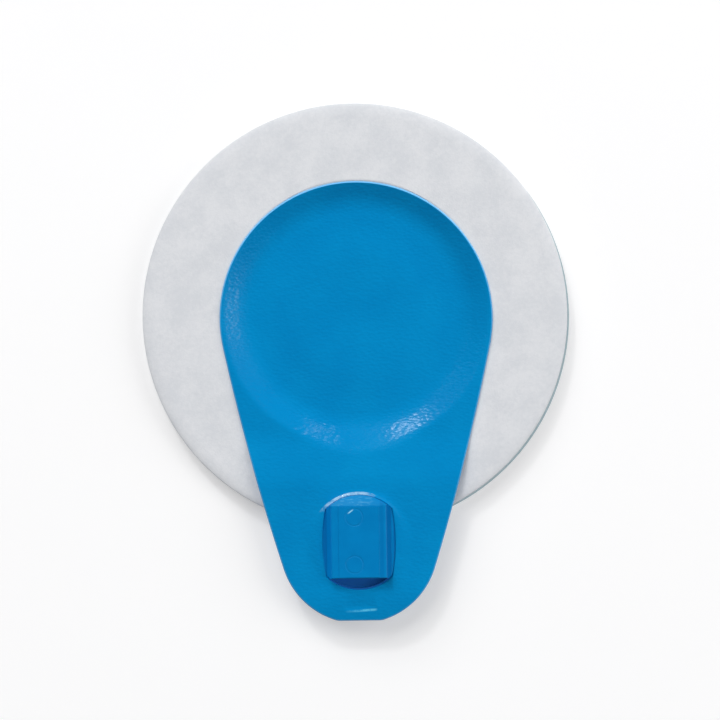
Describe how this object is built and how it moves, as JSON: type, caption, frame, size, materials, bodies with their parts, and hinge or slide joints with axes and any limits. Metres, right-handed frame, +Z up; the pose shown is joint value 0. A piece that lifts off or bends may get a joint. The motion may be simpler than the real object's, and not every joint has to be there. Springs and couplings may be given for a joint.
{
  "type": "ecg electrode",
  "caption": "Disposable round ECG electrode: foam adhesive disc under a dished blue film, gel pad and sensor inside, and an offset tab that carries a low moulded socket with a flat slot.",
  "frame": {"origin": "under the middle of the gel pad, on the underside that goes to the skin", "axes": "+Z up out of the skin, -Y along the tab towards the socket's mouth, +X to the right seen from above with the tab towards the viewer"},
  "size_m": [0.0551, 0.0666, 0.0051],
  "materials": {
    "liner": "clear, smooth",
    "foam": "white closed-cell foam, matte",
    "sponge": "open-cell sponge, wet with gel",
    "sensor": "silver chloride, dull",
    "conductor": "silver-inked film",
    "film": "fine-grained satin",
    "backing": "satin",
    "housing": "moulded, semi-gloss",
    "contact": "tin-plated brass, satin"
  },
  "bodies": {
    "root": {"release_liner": "liner", "foam_ring": "foam", "gel_sponge": "sponge", "sensor_disc": "sensor", "lead_strip": "conductor", "cover_label": "film", "tab_backing": "backing", "connector_housing": "housing", "contact_spring": "contact"}
  },
  "joints": []
}
